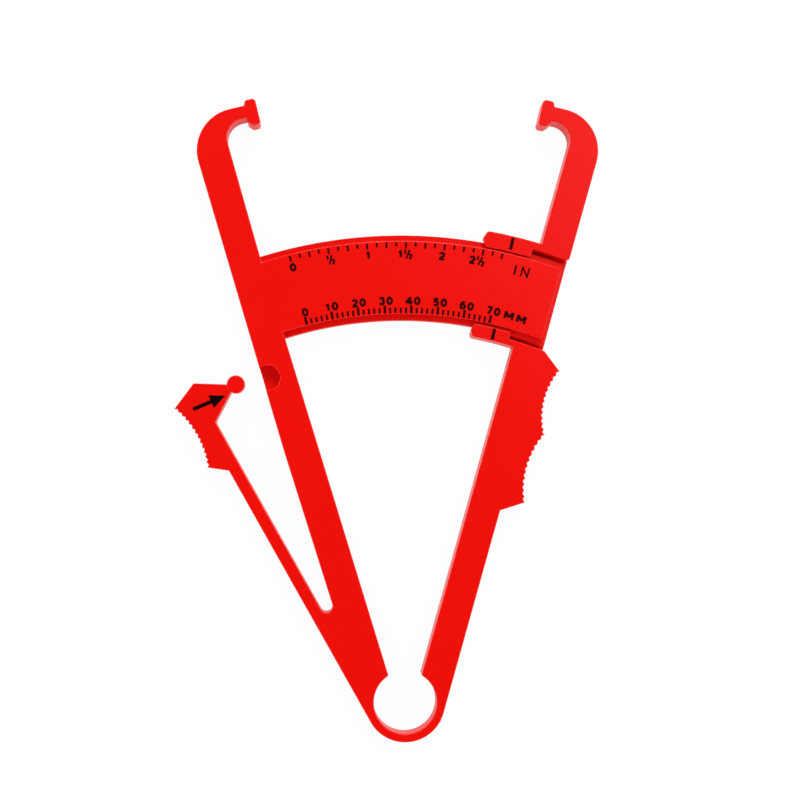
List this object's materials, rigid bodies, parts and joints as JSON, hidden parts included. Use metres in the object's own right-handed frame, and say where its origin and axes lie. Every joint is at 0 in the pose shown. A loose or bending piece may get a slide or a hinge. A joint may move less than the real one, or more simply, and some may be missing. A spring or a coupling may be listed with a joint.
{
  "type": "skinfold caliper",
  "caption": "Flat plastic skinfold caliper: two sprung arms with hooked jaws, an arched scale plate with sliding guide tabs, a toothed finger grip and a thumb lever with a snap disc.",
  "frame": {"origin": "the centre of the arcs that the scale is drawn on, inside the spring loop, in the plane that the caliper's back lies on", "axes": "+Z through the thickness from the back to the printed face, +Y from the spring loop to the jaws, +X towards the moving arm"},
  "size_m": [0.1056, 0.1602, 0.0051],
  "materials": {
    "moulded_plastic": "satin injection-moulded springy plastic, bright red all through",
    "printed_ink": "near-black pad-printed ink, a film on the plastic"
  },
  "bodies": {
    "fixed_arm": {"left_jaw_pad": "moulded_plastic", "left_jaw_hook": "moulded_plastic", "left_arm": "moulded_plastic", "left_heel": "moulded_plastic", "spring_loop": "moulded_plastic", "scale_plate": "moulded_plastic", "scale_outer_rail": "moulded_plastic", "scale_inner_rail": "moulded_plastic", "scale_end_rail": "moulded_plastic", "millimetre_graduation": "printed_ink", "inch_graduation": "printed_ink"},
    "moving_arm": {"right_jaw_pad": "moulded_plastic", "right_jaw_hook": "moulded_plastic", "right_arm_upper": "moulded_plastic", "guide_bridge": "moulded_plastic", "upper_guide_tab": "moulded_plastic", "lower_guide_tab": "moulded_plastic", "right_arm_lower": "moulded_plastic", "right_heel": "moulded_plastic", "upper_finger_grip": "moulded_plastic", "lower_finger_grip": "moulded_plastic", "upper_index_mark": "printed_ink", "lower_index_mark": "printed_ink"},
    "thumb_lever": {"lever_blade": "moulded_plastic", "thumb_pad": "moulded_plastic", "snap_disc": "moulded_plastic", "press_arrow": "printed_ink"}
  },
  "joints": [
    {"name": "spring_hinge", "type": "hinge", "parent": "fixed_arm", "child": "moving_arm", "pos_m": [0, -0.005, 0.0025], "axis": [0, 0, 1], "range_deg": [0, 25.7], "stiffness_Nm_per_rad": 0.7, "deforming": ["spring_loop"]},
    {"name": "lever_hinge", "type": "hinge", "parent": "fixed_arm", "child": "thumb_lever", "pos_m": [-0.02982, 0.03829, 0.0025], "axis": [0, 0, -1], "range_deg": [0, 10.5], "stiffness_Nm_per_rad": 0.6, "deforming": ["lever_blade"]}
  ]
}
